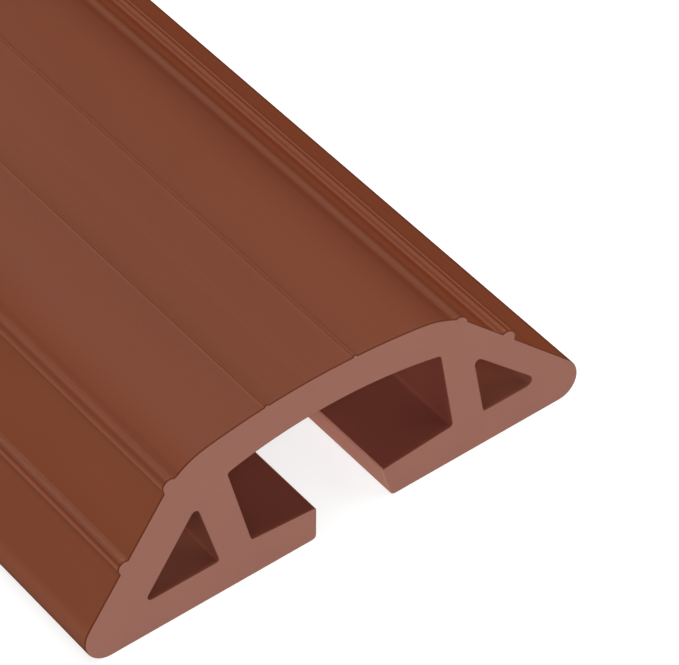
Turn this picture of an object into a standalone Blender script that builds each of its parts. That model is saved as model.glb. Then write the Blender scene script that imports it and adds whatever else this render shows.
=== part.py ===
"""A four foot length of soft PVC floor cord cover, cut square at both ends.

One extruded piece. It lies on its flat base with its length along Y, its cut ends at both ends of Y,
and the middle of its base at the origin. All sizes are in metres.
"""

import math

import bmesh
import bpy
from mathutils import Vector

# The length that the stock is sold in, and its outer section
cover_length = 1.2192
cover_width = 0.100
cover_height = 0.0336
crown_radius = 0.130
shoulder_radius = 0.0162
slope_angle = math.radians(47.5)
toe_radius = 0.00425

# The centre channel: how far from the middle each wall's foot and top are. Its arched ceiling and the
# slit below it have their middles a little to the right
channel_left = {"foot": 0.0166, "top": 0.0188}
channel_right = {"foot": 0.0244, "top": 0.0240}
ceiling_middle = 0.0015
ceiling_height = 0.0265
ceiling_radius = 0.090
channel_corner_radius = 0.0007
floor_thickness = 0.0075
flange_end_thickness = 0.0065
slit_middle = 0.0030
slit_width = 0.0134
slit_edge_lean = 0.0010
slit_edge_radius = 0.0009

# The side channels: triangles between a web, the floor and a slope. How far from the middle the web's
# foot and the outer corner are, how far the web leans outward, how high the apex is, and how round the
# outer corner is
side_floor_thickness = 0.00685
side_corner_radius = 0.0005
side_apex_radius = 0.0008
left_side = {"web": 0.0231, "lean": 0.0023, "outer": 0.0381, "apex": 0.0210, "outer radius": 0.0007}
right_side = {"web": 0.0307, "lean": -0.0005, "outer": 0.0424, "apex": 0.0197, "outer radius": 0.0011}

# The raised lines on the skin: how wide and how proud each kind is, and where each one lies, as a
# distance along the skin from the crown's middle
line_sizes = {"rib": (0.0008, 0.00035), "bead": (0.0030, 0.0012), "slim bead": (0.0027, 0.0011),
              "low bead": (0.0027, 0.0007)}
left_lines = [("rib", 0.0096), ("bead", 0.0305), ("slim bead", 0.0463)]
right_lines = [("rib", 0.0080), ("low bead", 0.0298), ("bead", 0.0422)]

# How finely the round stretches are divided
crown_steps = 14
shoulder_steps = 8
toe_steps = 8
line_steps = 8
ceiling_steps = 16
corner_steps = 4
smooth_angle = math.radians(32)

pvc_colour = (0.195, 0.068, 0.034, 1.0)
pvc_roughness = 0.42


def clear_scene():
    for thing in list(bpy.data.objects):
        bpy.data.objects.remove(thing, do_unlink=True)


def skin_curves():
    """The centres of the crown, shoulder and toe arcs of the right half, and where they meet."""
    crown_centre = Vector((0.0, cover_height - crown_radius))
    toe_centre = Vector((cover_width / 2 - toe_radius, toe_radius))
    slope_normal = Vector((math.sin(slope_angle), math.cos(slope_angle)))
    slope_up = Vector((-math.cos(slope_angle), math.sin(slope_angle)))
    # The shoulder arc touches the slope from inside, and the crown arc from inside too
    foot = toe_centre + slope_normal * (toe_radius - shoulder_radius)
    from_crown = foot - crown_centre
    along = from_crown.dot(slope_up)
    reach = crown_radius - shoulder_radius
    rise = math.sqrt(along * along - from_crown.length_squared + reach * reach) - along
    shoulder_centre = foot + slope_up * rise
    toward = shoulder_centre - crown_centre
    return crown_centre, shoulder_centre, toe_centre, math.atan2(toward.x, toward.y), rise


def skin_point(distance):
    """The place on the right half's skin this far from the crown's middle, and the skin's lean there."""
    crown_centre, shoulder_centre, toe_centre, crown_lean, slope_run = skin_curves()
    crown_run = crown_radius * crown_lean
    shoulder_run = shoulder_radius * (slope_angle - crown_lean)
    if distance <= crown_run:
        lean = distance / crown_radius
        return on_circle(crown_centre, crown_radius, lean), lean
    distance -= crown_run
    if distance <= shoulder_run:
        lean = crown_lean + distance / shoulder_radius
        return on_circle(shoulder_centre, shoulder_radius, lean), lean
    distance -= shoulder_run
    if distance <= slope_run:
        down_slope = Vector((math.cos(slope_angle), -math.sin(slope_angle)))
        start = on_circle(shoulder_centre, shoulder_radius, slope_angle)
        return start + down_slope * distance, slope_angle
    lean = slope_angle + (distance - slope_run) / toe_radius
    return on_circle(toe_centre, toe_radius, lean), lean


def on_circle(centre, radius, lean):
    """The point of a circle whose outward direction leans this far from straight up, toward +X."""
    return centre + radius * Vector((math.sin(lean), math.cos(lean)))


def skin_stops():
    """The distances along the skin at which its arcs are divided, from the crown's middle to the base."""
    crown_lean, slope_run = skin_curves()[3:]
    runs = [(crown_radius * crown_lean, crown_steps),
            (shoulder_radius * (slope_angle - crown_lean), shoulder_steps),
            (slope_run, 1),
            (toe_radius * (math.pi / 2 - slope_angle), toe_steps // 2),
            (toe_radius * math.pi / 2, toe_steps)]
    stops = [0.0]
    for run, steps in runs:
        start = stops[-1]
        stops += [start + run * (step + 1) / steps for step in range(steps)]
    return stops


def raised_line(distance, width, height):
    """A rib or bead on the skin: part of a circle that stands this proud of it."""
    foot, lean = skin_point(distance)
    radius = (width * width / 4 + height * height) / (2 * height)
    outward = Vector((math.sin(lean), math.cos(lean)))
    centre = foot + outward * (height - radius)
    spread = math.asin(width / 2 / radius)
    return [(distance + width * (step / line_steps - 0.5),
             on_circle(centre, radius, lean + spread * (2 * step / line_steps - 1)))
            for step in range(line_steps + 1)]


def skin_half(lines):
    """The right half of the outer outline, from the crown's middle to the base, with its raised lines."""
    marks = []
    covered = []
    for kind, distance in lines:
        width, height = line_sizes[kind]
        marks += raised_line(distance, width, height)
        covered.append((distance - width * 0.6, distance + width * 0.6))
    for stop in skin_stops():
        if not any(low < stop < high for low, high in covered):
            marks.append((stop, skin_point(stop)[0]))
    marks.sort(key=lambda mark: mark[0])
    return [point for stop, point in marks]


def rounded(before, corner, after, radius):
    """The arc that rounds the corner between two straight edges."""
    back = (before - corner).normalized()
    ahead = (after - corner).normalized()
    half_angle = back.angle(ahead) / 2
    centre = corner + (back + ahead).normalized() * (radius / math.sin(half_angle))
    start = (corner + back * (radius / math.tan(half_angle)) - centre).normalized()
    end = (corner + ahead * (radius / math.tan(half_angle)) - centre).normalized()
    return [centre + start.slerp(end, step / corner_steps) * radius for step in range(corner_steps + 1)]


def channel_half(walls, ceiling_shift, slit_shift):
    """Half of the slit and the centre channel, as on the right, from the base to the ceiling's middle."""
    ceiling_centre = Vector((ceiling_shift, ceiling_height - ceiling_radius))
    corner_lean = math.asin((walls["top"] - ceiling_shift) / ceiling_radius)
    ceiling = [on_circle(ceiling_centre, ceiling_radius, corner_lean * (1 - step / (ceiling_steps / 2)))
               for step in range(ceiling_steps // 2 + 1)]
    base_inside = Vector((cover_width / 4, 0.0))
    slit_foot = Vector((slit_shift + slit_width / 2 + slit_edge_lean, 0.0))
    slit_top = Vector((slit_shift + slit_width / 2, flange_end_thickness))
    floor_corner = Vector((walls["foot"], floor_thickness))
    return (rounded(base_inside, slit_foot, slit_top, slit_edge_radius)
            + rounded(slit_foot, slit_top, floor_corner, slit_edge_radius / 2)
            + rounded(slit_top, floor_corner, ceiling[0], channel_corner_radius)
            + rounded(floor_corner, ceiling[0], ceiling[1], channel_corner_radius)
            + ceiling[1:])


def side_channel(sizes):
    """The outline of a side channel, as it lies on the right."""
    inner_foot = Vector((sizes["web"], side_floor_thickness))
    outer_foot = Vector((sizes["outer"], side_floor_thickness))
    apex = Vector((sizes["web"] + sizes["lean"], sizes["apex"]))
    return (rounded(apex, inner_foot, outer_foot, side_corner_radius)
            + rounded(inner_foot, outer_foot, apex, sizes["outer radius"])
            + rounded(outer_foot, apex, inner_foot, side_apex_radius))


def mirrored(points):
    return [Vector((-point.x, point.y)) for point in reversed(points)]


def section_loops():
    """The closed outlines of the section: the skin with the open centre channel, and two side channels."""
    right_skin = skin_half(right_lines)
    left_skin = mirrored(skin_half(left_lines))
    right_channel = channel_half(channel_right, ceiling_middle, slit_middle)
    left_channel = mirrored(channel_half(channel_left, -ceiling_middle, -slit_middle))
    return [left_skin + right_skin[1:] + right_channel + left_channel[1:],
            mirrored(side_channel(left_side)), side_channel(right_side)]


def pvc_material():
    material = bpy.data.materials.new("brown_pvc")
    material.use_nodes = True
    shader = material.node_tree.nodes["Principled BSDF"]
    shader.inputs["Base Color"].default_value = pvc_colour
    shader.inputs["Roughness"].default_value = pvc_roughness
    shader.inputs["Metallic"].default_value = 0.0
    return material


def cord_cover():
    """Fills the section and extrudes it along Y, from the near cut end to the far one."""
    mesh = bpy.data.meshes.new("cord_cover")
    bm = bmesh.new()
    for loop in section_loops():
        verts = [bm.verts.new((point.x, -cover_length / 2, point.y)) for point in loop]
        for first, second in zip(verts, verts[1:] + verts[:1]):
            bm.edges.new((first, second))
    bmesh.ops.triangle_fill(bm, edges=bm.edges[:], use_beauty=True, normal=(0.0, -1.0, 0.0))
    grown = bmesh.ops.extrude_face_region(bm, geom=bm.faces[:])
    far_end = [item for item in grown["geom"] if isinstance(item, bmesh.types.BMVert)]
    bmesh.ops.translate(bm, verts=far_end, vec=(0.0, cover_length, 0.0))
    bmesh.ops.recalc_face_normals(bm, faces=bm.faces[:])
    bm.to_mesh(mesh)
    bm.free()
    mesh.shade_smooth()
    mesh.set_sharp_from_angle(angle=smooth_angle)
    mesh.materials.append(pvc_material())
    cover = bpy.data.objects.new("cord_cover", mesh)
    bpy.context.scene.collection.objects.link(cover)
    return cover


clear_scene()
cord_cover()
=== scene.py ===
# A four foot length of brown PVC floor cord cover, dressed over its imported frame
import math

import bmesh
import bpy
from mathutils import Matrix, Vector


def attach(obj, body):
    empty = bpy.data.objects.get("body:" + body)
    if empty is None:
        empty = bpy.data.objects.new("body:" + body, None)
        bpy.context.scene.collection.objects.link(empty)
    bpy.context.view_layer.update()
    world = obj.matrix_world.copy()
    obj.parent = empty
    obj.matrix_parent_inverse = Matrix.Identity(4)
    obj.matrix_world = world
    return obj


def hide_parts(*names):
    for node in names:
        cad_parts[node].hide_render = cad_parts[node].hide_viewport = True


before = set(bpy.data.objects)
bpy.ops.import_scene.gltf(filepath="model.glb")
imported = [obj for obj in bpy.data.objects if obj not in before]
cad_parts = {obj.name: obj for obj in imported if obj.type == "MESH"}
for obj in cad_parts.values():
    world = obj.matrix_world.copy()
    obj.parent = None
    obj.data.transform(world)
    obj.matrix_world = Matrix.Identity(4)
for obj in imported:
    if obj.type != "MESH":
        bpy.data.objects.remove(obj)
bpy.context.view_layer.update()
print("frame loaded")


# Selecting and shaping, as by hand

def openPiece(piece):
    if bpy.context.mode != "OBJECT":
        bpy.ops.object.mode_set(mode="OBJECT")
    bpy.ops.object.select_all(action="DESELECT")
    piece.select_set(True)
    bpy.context.view_layer.objects.active = piece
    bpy.ops.object.mode_set(mode="EDIT")
    bpy.ops.mesh.select_all(action="DESELECT")


def pick(piece, kind, test):
    # selects only the corners, edges or faces that pass the test
    bpy.ops.mesh.select_mode(type=kind)
    bpy.ops.mesh.select_all(action="DESELECT")
    shape = bmesh.from_edit_mesh(piece.data)
    items = {"VERT": shape.verts, "EDGE": shape.edges, "FACE": shape.faces}[kind]
    for item in items:
        if test(item):
            item.select_set(True)
    shape.select_flush_mode()
    bmesh.update_edit_mesh(piece.data)


# Shader maths written as Python expressions

class Value:
    # wraps a socket, so that sums and products of it add Math nodes
    def __init__(self, tree, socket=None):
        self.tree = tree
        self.socket = socket

    def node(self, kind, settings=None, sockets=None, output=0):
        made = self.tree.nodes.new(kind)
        for name, setting in (settings or {}).items():
            setattr(made, name, setting)
        for name, given in (sockets or {}).items():
            if isinstance(given, Value):
                self.tree.links.new(given.socket, made.inputs[name])
            else:
                made.inputs[name].default_value = given
        return Value(self.tree, made.outputs[output] if made.outputs else None)

    def maths(self, operation, *given):
        return self.node("ShaderNodeMath", {"operation": operation}, dict(enumerate(given)))

    def __add__(self, other):
        return self.maths("ADD", self, other)

    def __sub__(self, other):
        return self.maths("SUBTRACT", self, other)

    def __rsub__(self, other):
        return self.maths("SUBTRACT", other, self)

    def __mul__(self, other):
        return self.maths("MULTIPLY", self, other)

    def __abs__(self):
        return self.maths("ABSOLUTE", self)

    __radd__ = __add__
    __rmul__ = __mul__

    def split(self):
        # the three numbers of a place
        parts = self.node("ShaderNodeSeparateXYZ", {}, {0: self}).socket.node.outputs
        return [Value(self.tree, part) for part in parts]

    def ramped(self, low, high, lowValue=0.0, highValue=1.0):
        # turns smoothly from one value to the other as this one goes from low to high
        return self.node("ShaderNodeMapRange", {"interpolation_type": "SMOOTHSTEP"},
                         {0: self, 1: low, 2: high, 3: lowValue, 4: highValue})

    def painted(self, under, over):
        # lays one colour over another by this value
        return self.node("ShaderNodeMix", {"data_type": "RGBA"}, {0: self, 6: under, 7: over}, output=2)


def newMaterial(name):
    material = bpy.data.materials.new(name)
    material.use_nodes = True
    tree = material.node_tree
    tree.nodes.clear()
    return material, Value(tree)


def objectPlace(paint):
    return paint.node("ShaderNodeTexCoord", output=3)


def noise(paint, place, stretch, scale, detail):
    # soft noise in object space, stretched along the piece's own axes
    spread = paint.node("ShaderNodeMapping", {}, {"Vector": place, "Scale": stretch})
    return paint.node("ShaderNodeTexNoise", {"noise_dimensions": "3D"},
                      {"Vector": spread, "Scale": scale, "Detail": detail, "Roughness": 0.55})


# The camera, at the photograph's viewing angle

view = {
    "azimuth": 28.47,         # degrees, turned from the length towards the right
    "elevation": 41.93,
    "roll": -9.08,
    "focalLength": 274.6,     # mm
    "sensorWidth": 36.0,      # mm
    "nearestSeen": 0.05,
    "farthestSeen": 100.0,
    "nearEnd": -0.6096,
    "distance": 0.8659,       # from the middle of the near cut end's base
    "lift": 0.0322,           # how far the camera is raised in its own upward direction
}


def makeCamera():
    turn = math.radians(view["azimuth"])
    dip = math.radians(view["elevation"])
    roll = math.radians(view["roll"])
    ahead = Vector((math.sin(turn) * math.cos(dip), math.cos(turn) * math.cos(dip), -math.sin(dip)))
    level = Vector((math.cos(turn), -math.sin(turn), 0.0))
    upward = level.cross(ahead)
    right = level * math.cos(roll) + upward * math.sin(roll)
    top = upward * math.cos(roll) - level * math.sin(roll)
    lens = bpy.data.cameras.new("camera")
    lens.lens = view["focalLength"]
    lens.sensor_width = view["sensorWidth"]
    lens.clip_start = view["nearestSeen"]
    lens.clip_end = view["farthestSeen"]
    camera = bpy.data.objects.new("camera", lens)
    bpy.context.scene.collection.objects.link(camera)
    place = Vector((0.0, view["nearEnd"], 0.0)) - ahead * view["distance"] + top * view["lift"]
    camera.matrix_world = Matrix.Translation(place) @ Matrix((right, top, -ahead)).transposed().to_4x4()
    bpy.context.scene.camera = camera


makeCamera()
print("camera placed")


# The cover: the extruded stock with its moulded lines, softened where it was cut

cover = {
    "halfLength": 0.6096,
    "mergeGap": 1e-6,         # corners nearer than this are one
    "straightGap": 1e-5,      # an edge that wanders further aside than this isn't straight
    "creaseAngle": 40.0,      # degrees, a sharper hollow than this is a bead's or rib's foot
    "beadFoot": 0.00016,      # how widely the foot of a bead flows into the skin
    "ribFoot": 0.00008,
    "ribReach": 0.014,        # the ribs lie nearer to the middle than this
    "footSegments": 3,
    "cutRound": 0.00018,      # how far the cut edges are rounded over
    "cutRings": (0.3, 0.7, 1.2),    # parts of that, from each ring on the cut face to the next
    "cutDip": 0.3,            # how far the first ring dips, as a part of it too
    "skinSupport": 0.0008,    # the skin is true again this far from the cut
    "smoothAngle": 42.0,      # degrees
    "endFacing": 0.9,         # a cut face's normal has more than this along the length
    "cutFacing": 0.5,         # and the rounding's more than this
    "slitFacing": 0.6,        # a slit side's normal has more than this across
    "slitSides": (-0.006, 0.012),   # and the slit's sides lie between these
    "flangeTop": 0.0068,
    "channelHeights": (0.0060, 0.0272),   # all channel walls lie between these
    "channelReach": 0.0385,   # and nearer than this, measured square to the slopes
    "slopeAngle": 47.5,       # degrees
    "channelMiddle": 0.0035,  # the side channels lie further from this than the next
    "channelHalfWidth": 0.0250,
}


def lengthwise(edge):
    first, second = edge.verts
    return abs(first.co.y - second.co.y) > cover["halfLength"]


def diagonal(edge):
    first, second = edge.verts
    aside = math.hypot(first.co.x - second.co.x, first.co.z - second.co.z)
    return lengthwise(edge) and aside > cover["straightGap"]


def foot(edge):
    return (lengthwise(edge) and len(edge.link_faces) == 2
            and edge.calc_face_angle_signed() < -math.radians(cover["creaseAngle"]))


def slitSide(face):
    low, high = cover["slitSides"]
    middle = face.calc_center_median()
    inSlit = low < middle.x < high and middle.z < cover["flangeTop"]
    return inSlit and abs(face.normal.x) > cover["slitFacing"]


def channelWall(face):
    low, high = cover["channelHeights"]
    middle = face.calc_center_median()
    slope = math.radians(cover["slopeAngle"])
    reach = abs(middle.x) * math.sin(slope) + middle.z * math.cos(slope)
    return low < middle.z < high and reach < cover["channelReach"]


def offMiddle(face):
    # how far right of the centre channel's middle a face lies
    return face.calc_center_median().x - cover["channelMiddle"]


def leftSideWall(face):
    return channelWall(face) and offMiddle(face) < -cover["channelHalfWidth"]


def rightSideWall(face):
    return channelWall(face) and offMiddle(face) > cover["channelHalfWidth"]


def cutFace(face):
    return abs(face.normal.y) > cover["cutFacing"]


def softenFeet(piece, width, test):
    pick(piece, "EDGE", lambda edge: foot(edge) and test(edge))
    bpy.ops.mesh.bevel(offset_type="OFFSET", offset=width, segments=cover["footSegments"],
                       profile=0.5, affect="EDGES", clamp_overlap=False)


def finishEnd(piece, side):
    # closes a cut end and rounds its edges over, side is -1 for the near end and 1 for the far one
    end = side * cover["halfLength"]
    reach = cover["cutRound"]

    def atEnd(corner):
        return abs(corner.co.y - end) < cover["mergeGap"]

    pick(piece, "EDGE", lambda edge: edge.is_boundary and all(atEnd(corner) for corner in edge.verts))
    bpy.ops.mesh.fill(use_beauty=True)
    for part in cover["cutRings"]:
        bpy.ops.mesh.inset(thickness=part * reach, depth=0.0, use_boundary=True, use_even_offset=True)
    pick(piece, "VERT", lambda corner: atEnd(corner) and any(lengthwise(edge) for edge in corner.link_edges))
    bpy.ops.transform.translate(value=(0.0, -side * reach, 0.0))
    pick(piece, "VERT", lambda corner: atEnd(corner) and any(
        not atEnd(edge.other_vert(corner)) for edge in corner.link_edges))
    bpy.ops.transform.translate(value=(0.0, -side * cover["cutDip"] * reach, 0.0))


def addSkinSupport(piece):
    # gives the skin near the cuts its own edges, so that the rounding doesn't shade the whole length
    for side in (-1, 1):
        bpy.ops.mesh.select_all(action="SELECT")
        place = side * (cover["halfLength"] - cover["skinSupport"])
        bpy.ops.mesh.bisect(plane_co=(0.0, place, 0.0), plane_no=(0.0, 1.0, 0.0))
    bpy.ops.mesh.select_all(action="SELECT")
    bpy.ops.mesh.normals_make_consistent(inside=False)


def coatPiece(piece):
    # the skin's coat goes all over, and the others over the faces that pass their tests
    piece.data.materials.clear()
    piece.data.materials.append(extrudedPvc("brownPvcSkin", skinFinish))
    coats = ((extrudedPvc("brownPvcInside", insideFinish), channelWall),
             (extrudedPvc("brownPvcLeftSide", leftSideFinish), leftSideWall),
             (extrudedPvc("brownPvcRightSide", rightSideFinish), rightSideWall),
             (cutPvc("brownPvcSlit", slitFinish), slitSide),
             (cutPvc("brownPvcCut", cutFinish), cutFace))
    for slot, (coat, test) in enumerate(coats, 1):
        piece.data.materials.append(coat)
        pick(piece, "FACE", test)
        piece.active_material_index = slot
        bpy.ops.object.material_slot_assign()


def makeCover():
    piece = bpy.data.objects.new("pvcCover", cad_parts["cord_cover"].data.copy())
    bpy.context.scene.collection.objects.link(piece)
    openPiece(piece)
    bpy.ops.mesh.select_all(action="SELECT")
    bpy.ops.mesh.remove_doubles(threshold=cover["mergeGap"])
    pick(piece, "FACE", lambda face: abs(face.normal.y) > cover["endFacing"])
    bpy.ops.mesh.delete(type="FACE")
    pick(piece, "EDGE", diagonal)
    bpy.ops.mesh.dissolve_edges(use_verts=False)

    softenFeet(piece, cover["beadFoot"], lambda edge: abs(edge.verts[0].co.x) > cover["ribReach"])
    softenFeet(piece, cover["ribFoot"], lambda edge: abs(edge.verts[0].co.x) < cover["ribReach"])
    for side in (-1, 1):
        finishEnd(piece, side)
    addSkinSupport(piece)
    coatPiece(piece)
    bpy.ops.object.mode_set(mode="OBJECT")
    bpy.ops.object.shade_smooth_by_angle(angle=math.radians(cover["smoothAngle"]))
    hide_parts("cord_cover")
    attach(piece, "root")


# The finishes of all that left the die: the skin and the channel walls

skinFinish = {
    "brown": (0.167, 0.0468, 0.0212, 1.0),
    "deepBrown": (0.159, 0.0436, 0.0194, 1.0),
    "paleBrown": (0.179, 0.0518, 0.0242, 1.0),
    # painted shade: a darker line along the cut edges
    "edgeShadeBrown": (0.095, 0.0190, 0.0070, 1.0),
    "edgeShadeWidth": (0.00048, 0.00032),   # the darker line along the cut fades in from one to the other
    # painted shade: the right slope is painted warmer and deeper, as a shaded flank
    "shadedSlopeBrown": (0.180, 0.0395, 0.0130, 1.0),
    "shadedSlopePlace": (0.0295, 0.0315),     # the right slope is warmer, from one to the other
    "shadedSlopeHeight": (0.0005, 0.0025),    # but not the base below it
    "shadedSlopeShare": 0.8,
    # painted highlight colour
    "paintedHighlightBrown": (0.238, 0.0870, 0.0480, 1.0),
    # painted shade colour
    "paintedShadeBrown": (0.098, 0.0160, 0.0045, 1.0),
    "roughness": 0.46,
    "gloss": 0.10,
    # lines that run the whole length, painted shade and painted highlights: place across, height, reach,
    # strength
    # painted shade: darker lines where shade falls beside the beads, on the crown's sides and at the toes
    "paintedShadeLines": {
        "crown beside the left bead": (-0.0279, 0.0293, 0.0011, 0.17),
        "outer side of the left inner bead": (-0.0301, 0.0291, 0.0005, 0.34),
        "outer side of the left outer bead": (-0.0409, 0.0174, 0.0004, 0.42),
        "underside of the left toe": (-0.0498, 0.0028, 0.0008, 0.80),
        "left of the crown": (-0.0150, 0.0330, 0.0150, 0.09),
        "right of the crown": (0.0270, 0.0298, 0.0090, 0.18),
        "crown near the right bead": (0.0266, 0.0301, 0.0036, 0.14),
        "crown beside the right bead": (0.0265, 0.0302, 0.0012, 0.20),
        "outer side of the low bead": (0.0293, 0.0291, 0.0006, 0.28),
        "slope above the right outer bead": (0.0340, 0.0233, 0.0019, 0.42),
        "outer side of the right outer bead": (0.0377, 0.0208, 0.0004, 0.50),
        "slope below the right outer bead": (0.0418, 0.0148, 0.0009, 0.20),
        "right toe": (0.0487, 0.0073, 0.0009, 0.60),
    },
    # painted highlights: paler lines on the beads' tops and rims and on the left toe, and painted light that
    # lifts the shade at the ribs' feet
    "paintedHighlightLines": {
        "inner foot of the left inner bead": (-0.0287, 0.0293, 0.0004, 0.24),
        "rim of the left inner bead": (-0.0308, 0.0280, 0.0007, 0.62),
        "top of the left outer bead": (-0.0397, 0.0177, 0.0007, 0.60),
        "rim of the left outer bead": (-0.0413, 0.0167, 0.0006, 0.56),
        "left toe": (-0.0498, 0.0056, 0.0030, 0.24),
        "top of the low bead": (0.0280, 0.0294, 0.0009, 0.40),
        "inner foot of the right outer bead": (0.0357, 0.0215, 0.0011, 0.60),
        "top of the right outer bead": (0.0371, 0.0209, 0.0004, 0.45),
        "rim of the right outer bead": (0.0382, 0.0205, 0.0004, 0.80),
        "outer foot of the left rib": (-0.0100, 0.0332, 0.0003, 0.65),
        "inner foot of the left rib": (-0.0092, 0.0333, 0.0003, 0.35),
        "inner foot of the right rib": (0.0076, 0.0334, 0.0003, 0.35),
    },
}

# painted light: the channel walls are painted paler than the skin and paler still deeper in, where less
# light falls, and darker at the mouth
insideFinish = {
    "brown": (0.251, 0.0710, 0.0480, 1.0),
    "deepBrown": (0.235, 0.0655, 0.0435, 1.0),
    "paleBrown": (0.263, 0.0760, 0.0518, 1.0),
    "mouth": (0.129, 0.0335, 0.0218, 1.0),
    "mouthReach": 0.022,      # how far in from the cut the mouth's colour fades out
    "roughness": 0.6,
    "gloss": 0.06,
}

# painted light: the side channels are painted paler still, the right one most, against the deeper shade that
# fills them
leftSideFinish = dict(
    insideFinish, brown=(0.440, 0.1460, 0.0920, 1.0), deepBrown=(0.415, 0.1350, 0.0850, 1.0),
    paleBrown=(0.460, 0.1530, 0.0980, 1.0), mouth=(0.130, 0.0370, 0.0235, 1.0), mouthReach=0.013)

rightSideFinish = dict(
    leftSideFinish, brown=(0.620, 0.2050, 0.1250, 1.0), deepBrown=(0.590, 0.1900, 0.1150, 1.0),
    paleBrown=(0.640, 0.2150, 0.1330, 1.0), mouth=(0.148, 0.0450, 0.0280, 1.0))

# what the die leaves on all of them, with heights in metres
dieMarks = {
    "lineNoise": {"stretch": (1.0, 0.003, 1.0), "scale": 900.0, "detail": 4.0},
    "fineNoise": {"stretch": (1.0, 0.006, 1.0), "scale": 5200.0, "detail": 2.0},
    "cloudNoise": {"stretch": (1.0, 0.25, 1.0), "scale": 45.0, "detail": 3.0},
    "grainNoise": {"stretch": (1.0, 1.0, 1.0), "scale": 3800.0, "detail": 2.0},
    "cloudRange": (0.35, 0.65),
    "paleRange": (0.5, 0.78),
    "paleShare": 0.4,
    "lineHeight": 0.000006,
    "fineHeight": 0.0000018,
    "grainHeight": 0.000004,
    "lineRoughness": 0.16,
    "grainRoughness": 0.08,
}


def lengthLines(across, up, lines):
    # strong where a line runs, and nothing beyond its reach
    mask = 0.0
    for placeAcross, placeUp, reach, strength in lines.values():
        aside = across - placeAcross
        above = up - placeUp
        mask = mask + (aside * aside + above * above).ramped(0.0, reach ** 2, strength, 0.0)
    return mask


def fromCut(along, start, end):
    # rises from nothing to one as the distance from the nearer cut falls from start to end
    return abs(along).ramped(cover["halfLength"] - start, cover["halfLength"] - end)


def finishPvc(paint, finish, colour, roughness, height):
    relief = paint.node("ShaderNodeBump", {}, {"Height": height, "Distance": 1.0, "Strength": 1.0})
    shader = paint.node("ShaderNodeBsdfPrincipled", {}, {
        "Base Color": colour, "Roughness": roughness, "Normal": relief,
        "Specular IOR Level": finish["gloss"], "IOR": 1.5})
    paint.node("ShaderNodeOutputMaterial", {}, {"Surface": shader})


def extrudedPvc(name, finish):
    material, paint = newMaterial(name)
    place = objectPlace(paint)
    across, along, up = place.split()
    dieLines = noise(paint, place, **dieMarks["lineNoise"])
    fineLines = noise(paint, place, **dieMarks["fineNoise"])
    clouds = noise(paint, place, **dieMarks["cloudNoise"])
    grain = noise(paint, place, **dieMarks["grainNoise"])

    colour = clouds.ramped(*dieMarks["cloudRange"]).painted(finish["brown"], finish["deepBrown"])
    paleness = dieLines.ramped(*dieMarks["paleRange"]) * dieMarks["paleShare"]
    colour = paleness.painted(colour, finish["paleBrown"])
    if "mouth" in finish:
        # painted light: darker towards the cut and paler deeper in, to even out the shade inside
        colour = fromCut(along, finish["mouthReach"], 0.0).painted(colour, finish["mouth"])
    else:
        # painted shade on the right slope
        slopeShade = across.ramped(*finish["shadedSlopePlace"]) * up.ramped(*finish["shadedSlopeHeight"]) * finish["shadedSlopeShare"]
        colour = slopeShade.painted(colour, finish["shadedSlopeBrown"])
        # painted highlights as lines along the length
        colour = lengthLines(across, up, finish["paintedHighlightLines"]).painted(colour, finish["paintedHighlightBrown"])
        # painted shade as lines along the length
        colour = lengthLines(across, up, finish["paintedShadeLines"]).painted(colour, finish["paintedShadeBrown"])
        # painted shade along the cut edges
        colour = fromCut(along, *finish["edgeShadeWidth"]).painted(colour, finish["edgeShadeBrown"])
    roughness = (finish["roughness"] + (dieLines - 0.5) * dieMarks["lineRoughness"]
                 + (grain - 0.5) * dieMarks["grainRoughness"])
    height = (dieLines * dieMarks["lineHeight"] + fineLines * dieMarks["fineHeight"]
              + grain * dieMarks["grainHeight"])
    finishPvc(paint, finish, colour, roughness, height)
    return material


# The finishes of what a knife cut, which are the ends and the slit's sides

cutFinish = {
    "pink": (0.218, 0.0948, 0.0692, 1.0),
    "deepPink": (0.210, 0.0905, 0.0660, 1.0),
    "roughness": 0.72,
    "gloss": 0.12,
}

# painted light: the slit's sides are painted paler than the cut ends and paler still deeper in, where less
# light falls, and darker at the mouth
slitFinish = dict(
    cutFinish, pink=(0.530, 0.2250, 0.1630, 1.0), deepPink=(0.510, 0.2140, 0.1550, 1.0),
    mouth=(0.326, 0.1450, 0.1055, 1.0), mouthReach=0.022)

knifeMarks = {
    "turn": 11.0,             # degrees, how far the knife lines lean on the cut face
    "lineNoise": {"stretch": (1.0, 1.0, 0.03), "scale": 1500.0, "detail": 3.0},
    "cloudNoise": {"stretch": (1.0, 1.0, 1.0), "scale": 110.0, "detail": 3.0},
    "grainNoise": {"stretch": (1.0, 1.0, 1.0), "scale": 3000.0, "detail": 2.0},
    "cloudRange": (0.3, 0.7),
    "lineHeight": 0.000008,
    "grainHeight": 0.0000064,
    "lineRoughness": 0.2,
}


def cutPvc(name, finish):
    material, paint = newMaterial(name)
    place = objectPlace(paint)
    lean = (0.0, math.radians(knifeMarks["turn"]), 0.0)
    turned = paint.node("ShaderNodeMapping", {}, {"Vector": place, "Rotation": lean})
    knifeLines = noise(paint, turned, **knifeMarks["lineNoise"])
    clouds = noise(paint, place, **knifeMarks["cloudNoise"])
    grain = noise(paint, place, **knifeMarks["grainNoise"])
    colour = clouds.ramped(*knifeMarks["cloudRange"]).painted(finish["pink"], finish["deepPink"])
    if "mouth" in finish:
        along = place.split()[1]
        # painted light: darker towards the cut and paler deeper in
        colour = fromCut(along, finish["mouthReach"], 0.0).painted(colour, finish["mouth"])
    roughness = finish["roughness"] + (knifeLines - 0.5) * knifeMarks["lineRoughness"]
    height = knifeLines * knifeMarks["lineHeight"] + grain * knifeMarks["grainHeight"]
    finishPvc(paint, finish, colour, roughness, height)
    return material


makeCover()
print("cover made")


# A plain pale floor and soft studio light

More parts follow.
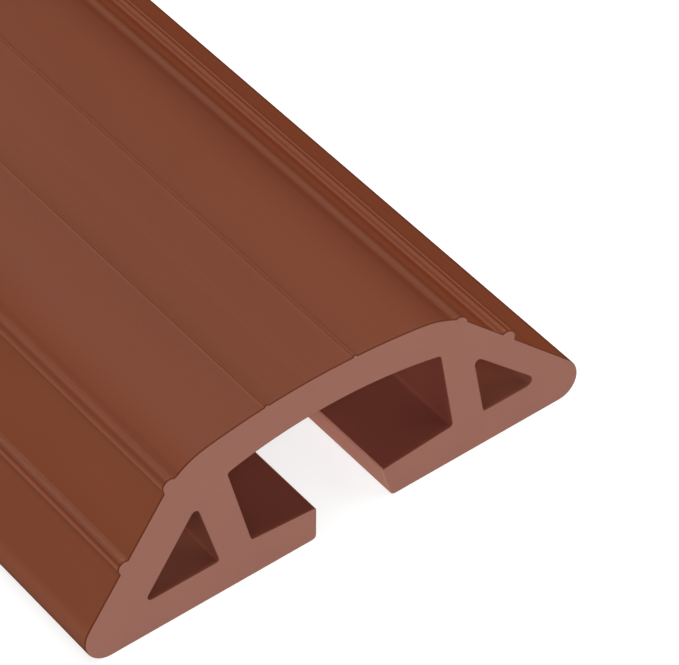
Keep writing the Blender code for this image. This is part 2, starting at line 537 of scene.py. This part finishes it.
studio = {
    "floorWidth": 60.0,
    "floorDrop": 0.00005,     # so that the floor never shares a plane with the base
    "floorWhite": (0.35, 0.35, 0.35, 1.0),
    "floorRoughness": 0.9,
    "floorGlow": 0.75,        # lit from below too, like a light table, so shadows stay faint
    "white": (1.0, 1.0, 1.0, 1.0),
    "skyStrength": 0.385,     # straight up, less towards the horizon
    "lampSpread": 40.0,       # degrees, how large each lamp looks from the cover
    "lamps": {                # degrees from straight ahead towards the right, degrees up, power
        "lowLeft": (-60.0, 12.0, 1.85),
        "front": (-15.0, 30.0, 1.40),
        "right": (55.0, 30.0, 1.25),
        "rearRight": (110.0, 55.0, 0.60),
        "rear": (175.0, 58.0, 1.01),
    },
}


def makeFloor():
    bpy.ops.object.select_all(action="DESELECT")
    bpy.ops.mesh.primitive_plane_add(size=studio["floorWidth"], location=(0.0, 0.0, -studio["floorDrop"]))
    floor = bpy.context.object
    floor.name = "floor"
    material, paint = newMaterial("paleFloor")
    shader = paint.node("ShaderNodeBsdfPrincipled", {}, {
        "Base Color": studio["floorWhite"], "Roughness": studio["floorRoughness"], "Specular IOR Level": 0.0,
        "Emission Color": studio["white"], "Emission Strength": studio["floorGlow"]})
    paint.node("ShaderNodeOutputMaterial", {}, {"Surface": shader})
    floor.data.materials.append(material)
    floor.visible_glossy = False   # keeps the white floor out of the satin skin


def makeSky():
    world = bpy.data.worlds.new("studioSky")
    bpy.context.scene.world = world
    world.use_nodes = True
    world.node_tree.nodes.clear()
    sky = Value(world.node_tree)
    height = sky.node("ShaderNodeTexCoord", output=0).split()[2]
    strength = height.maths("MAXIMUM", height, 0.0) * studio["skyStrength"]
    glow = sky.node("ShaderNodeBackground", {}, {"Color": studio["white"], "Strength": strength})
    sky.node("ShaderNodeOutputWorld", {}, {"Surface": glow})


def makeLamps():
    for name, (azimuth, elevation, power) in studio["lamps"].items():
        turn = math.radians(azimuth)
        rise = math.radians(elevation)
        toward = Vector((math.sin(turn) * math.cos(rise), -math.cos(turn) * math.cos(rise), math.sin(rise)))
        light = bpy.data.lights.new(name, "SUN")
        light.energy = power
        light.angle = math.radians(studio["lampSpread"])
        lamp = bpy.data.objects.new(name, light)
        bpy.context.scene.collection.objects.link(lamp)
        lamp.rotation_euler = toward.to_track_quat("Z", "Y").to_euler()


makeFloor()
makeSky()
makeLamps()
bpy.context.scene.view_settings.view_transform = "Standard"
bpy.context.scene.view_settings.look = "None"
print("studio made")
